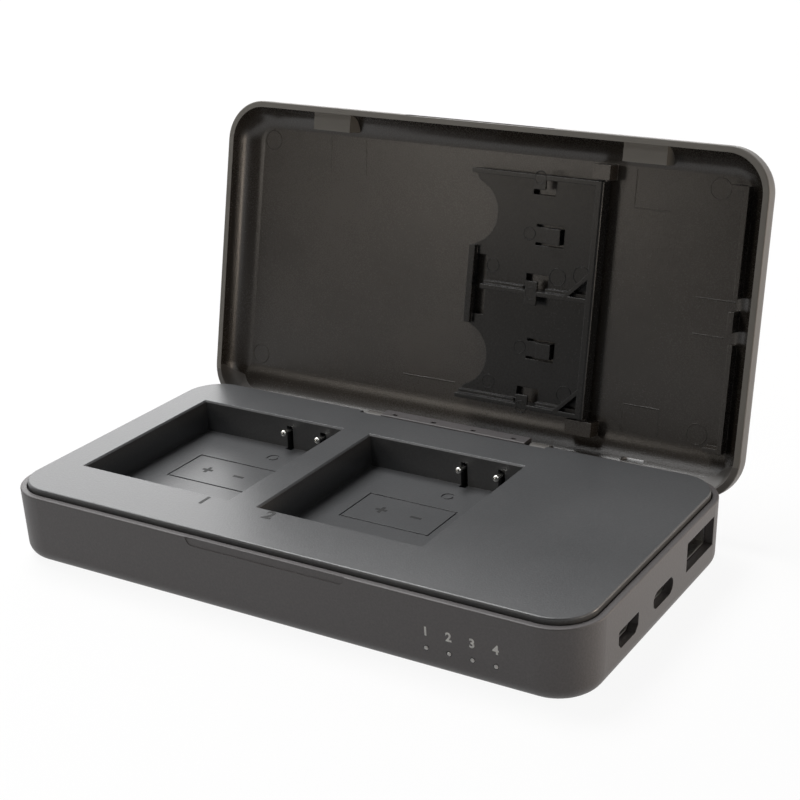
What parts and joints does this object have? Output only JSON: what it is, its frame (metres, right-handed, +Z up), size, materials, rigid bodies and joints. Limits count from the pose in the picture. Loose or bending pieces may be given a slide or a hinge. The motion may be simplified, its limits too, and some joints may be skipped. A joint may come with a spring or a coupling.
{
  "type": "camera battery charger",
  "caption": "Flat desktop charger with open battery bays in its deck, side power sockets, front status lamps, and a hinged lid that carries a swing-out memory card holder.",
  "frame": {"origin": "centre of the housing's flat underside", "axes": "+X along the length towards the sockets, +Y towards the hinge, +Z up"},
  "size_m": [0.1342, 0.0936, 0.0813],
  "materials": {
    "housing_plastic": "matte, fine spark texture",
    "deck_plastic": "matte, fine spark texture",
    "lid_plastic": "satin",
    "holder_plastic": "half gloss",
    "steel": "bright drawn",
    "contact_metal": "bright plated",
    "board": "solder mask",
    "chip": "matte",
    "inductor": "matte ferrite",
    "can": "satin",
    "clear_plastic": "clear, dark when unlit",
    "led": "gloss",
    "socket_plastic": "matte"
  },
  "bodies": {
    "base": {"bottom_housing": "housing_plastic", "deck": "deck_plastic", "hinge_pin": "steel", "housing_screws": "steel", "main_board": "board", "charge_controller_1": "chip", "charge_controller_2": "chip", "inductor_1": "inductor", "inductor_2": "inductor", "capacitor_1": "can", "capacitor_2": "can", "contact_1_1": "contact_metal", "contact_1_2": "contact_metal", "contact_2_1": "contact_metal", "contact_2_2": "contact_metal", "light_pipe_1": "clear_plastic", "light_pipe_2": "clear_plastic", "light_pipe_3": "clear_plastic", "light_pipe_4": "clear_plastic", "status_led_1": "led", "status_led_2": "led", "status_led_3": "led", "status_led_4": "led", "usb_a_shell": "steel", "usb_a_tongue": "socket_plastic", "usb_c_shell": "steel", "usb_c_tongue": "socket_plastic", "mini_usb_shell": "steel", "mini_usb_tongue": "socket_plastic"},
    "cover": {"lid": "lid_plastic"},
    "holder": {"card_holder": "holder_plastic"}
  },
  "joints": [
    {"name": "lid_hinge", "type": "hinge", "parent": "base", "child": "cover", "pos_m": [0, 0.035, 0.0133], "axis": [1, 0, 0], "range_deg": [0, 102]},
    {"name": "card_holder_pivot", "type": "hinge", "parent": "cover", "child": "holder", "pos_m": [0.0293, 0.04789, 0.04557], "axis": [0, 0.2079, 0.9781], "range_deg": [0, 180]}
  ]
}
